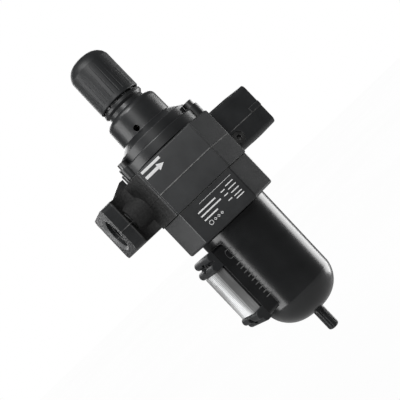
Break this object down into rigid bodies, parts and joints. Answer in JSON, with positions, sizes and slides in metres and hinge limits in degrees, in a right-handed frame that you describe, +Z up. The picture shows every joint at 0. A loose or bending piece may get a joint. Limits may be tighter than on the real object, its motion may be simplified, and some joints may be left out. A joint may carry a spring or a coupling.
{
  "type": "filter regulator",
  "caption": "Compressed-air filter regulator: threaded ports on a square block, domed pull-to-turn knob, metal bayonet bowl with a sight glass and a float drain.",
  "frame": {"origin": "centre of the drain outlet's mouth, on the upright axis", "axes": "+Z up along the axis from the drain to the knob; +X from the inlet port to the outlet port; the gauge-plug side of the outlet boss faces -Y"},
  "size_m": [0.19, 0.1206, 0.3532],
  "materials": {
    "black_casting": "satin black paint on a zinc casting",
    "black_plastic": "moulded, satin",
    "steel": "blackened",
    "brass": "machined",
    "spring_steel": "zinc plated",
    "rubber": "matt",
    "filter_medium": "sintered",
    "float_foam": "moulded",
    "clear_glass": "pressed prisms"
  },
  "bodies": {
    "root": {"yoke": "black_casting", "head": "black_casting", "bonnet": "black_casting", "knob_collar": "black_casting", "diaphragm": "rubber", "lower_yoke_oring": "rubber", "upper_yoke_oring": "rubber", "front_gauge_plug": "steel", "rear_gauge_plug": "steel", "head_screws": "steel", "bonnet_screws": "steel", "deflector": "black_plastic", "element_gasket": "rubber", "filter_element": "filter_medium", "baffle": "black_plastic", "tie_rod": "steel", "valve_guide": "brass", "thrust_washer": "brass", "range_spring": "spring_steel", "valve_spring": "spring_steel"},
    "adjuster": {"adjusting_screw": "steel", "knob_screw": "steel"},
    "knob": {"adjusting_knob": "black_plastic", "knob_cap": "black_plastic"},
    "nut": {"spring_nut": "brass"},
    "valve": {"diaphragm_plate": "brass", "lower_spring_rest": "steel", "valve_pin": "brass", "valve_poppet": "brass", "poppet_seal": "rubber"},
    "bowl_unit": {"bowl": "black_casting", "bowl_oring": "rubber", "sight_gasket": "rubber", "sight_glass": "clear_glass", "sight_lower_cap": "black_casting", "sight_upper_cap": "black_casting", "sight_screws": "steel", "drain_seal": "rubber", "drain_body": "black_plastic"},
    "float": {"drain_float": "float_foam"},
    "drain": {"drain_stem": "black_plastic"}
  },
  "joints": [
    {"name": "adjust_turn", "type": "hinge", "parent": "root", "child": "adjuster", "pos_m": [0, 0, 0.28], "axis": [0, 0, -1], "range_deg": [0, 3600]},
    {"name": "knob_lock", "type": "slide", "parent": "adjuster", "child": "knob", "axis": [0, 0, 1], "range_m": [-0.002, 0]},
    {"name": "nut_travel", "type": "slide", "parent": "root", "child": "nut", "axis": [0, 0, -1], "range_m": [0, 0.015], "deforming": ["range_spring"]},
    {"name": "valve_stroke", "type": "slide", "parent": "root", "child": "valve", "axis": [0, 0, -1], "range_m": [0, 0.002], "stiffness_N_per_m": 2000, "springref_m": -0.005, "deforming": ["valve_spring"]},
    {"name": "bowl_release", "type": "hinge", "parent": "root", "child": "bowl_unit", "pos_m": [0, 0, 0.15], "axis": [0, 0, 1], "range_deg": [0, 26]},
    {"name": "float_rise", "type": "slide", "parent": "bowl_unit", "child": "float", "axis": [0, 0, 1], "range_m": [0, 0.01]},
    {"name": "drain_turn", "type": "hinge", "parent": "bowl_unit", "child": "drain", "pos_m": [0, 0, 0.01], "axis": [0, 0, -1], "range_deg": [0, 90]}
  ],
  "couplings": [
    {"joint": "nut_travel", "follows": "adjust_turn", "m_per_rad": 0.00023873}
  ]
}
